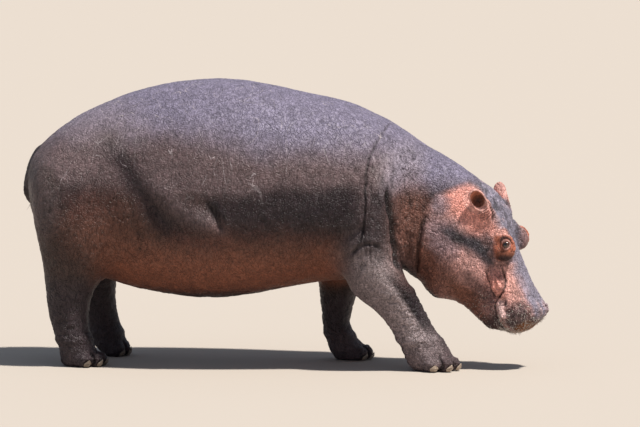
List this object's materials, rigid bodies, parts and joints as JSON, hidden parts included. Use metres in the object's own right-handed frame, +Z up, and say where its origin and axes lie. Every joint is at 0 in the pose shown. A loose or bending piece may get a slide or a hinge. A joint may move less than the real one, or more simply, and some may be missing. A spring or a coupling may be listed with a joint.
{
  "type": "hippopotamus",
  "caption": "Standing hippopotamus with a barrel body, short legs, a forefoot set ahead and a lowered head turned slightly to its right.",
  "frame": {"origin": "the middle of the animal's box on the floor it stands on", "axes": "+X along the body towards the head, +Y to the animal's left, +Z up"},
  "size_m": [2.675, 1.0024, 1.427],
  "materials": {
    "hide": "bare, finely creased grey-mauve hide, a little shiny over the back",
    "pink_hide": "bare pinkish hide of the jowls and ears",
    "eye": "wet dark brown eye",
    "toenail": "worn cream-coloured nail"
  },
  "bodies": {
    "root": {"trunk": "hide", "neck": "hide", "tail": "hide", "head": "hide", "lower_jaw": "pink_hide", "ear_right": "pink_hide", "eye_right": "eye", "ear_left": "pink_hide", "eye_left": "eye", "fore_foot_right": "hide", "fore_forearm_right": "hide", "fore_upper_arm_right": "hide", "nail_fore_right_1": "toenail", "nail_fore_right_2": "toenail", "nail_fore_right_3": "toenail", "nail_fore_right_4": "toenail", "fore_foot_left": "hide", "fore_forearm_left": "hide", "fore_upper_arm_left": "hide", "nail_fore_left_1": "toenail", "nail_fore_left_2": "toenail", "nail_fore_left_3": "toenail", "nail_fore_left_4": "toenail", "hind_foot_right": "hide", "hind_shank_right": "hide", "hind_thigh_right": "hide", "nail_hind_right_1": "toenail", "nail_hind_right_2": "toenail", "nail_hind_right_3": "toenail", "nail_hind_right_4": "toenail", "hind_foot_left": "hide", "hind_shank_left": "hide", "hind_thigh_left": "hide", "nail_hind_left_1": "toenail", "nail_hind_left_2": "toenail", "nail_hind_left_3": "toenail", "nail_hind_left_4": "toenail"}
  },
  "joints": []
}
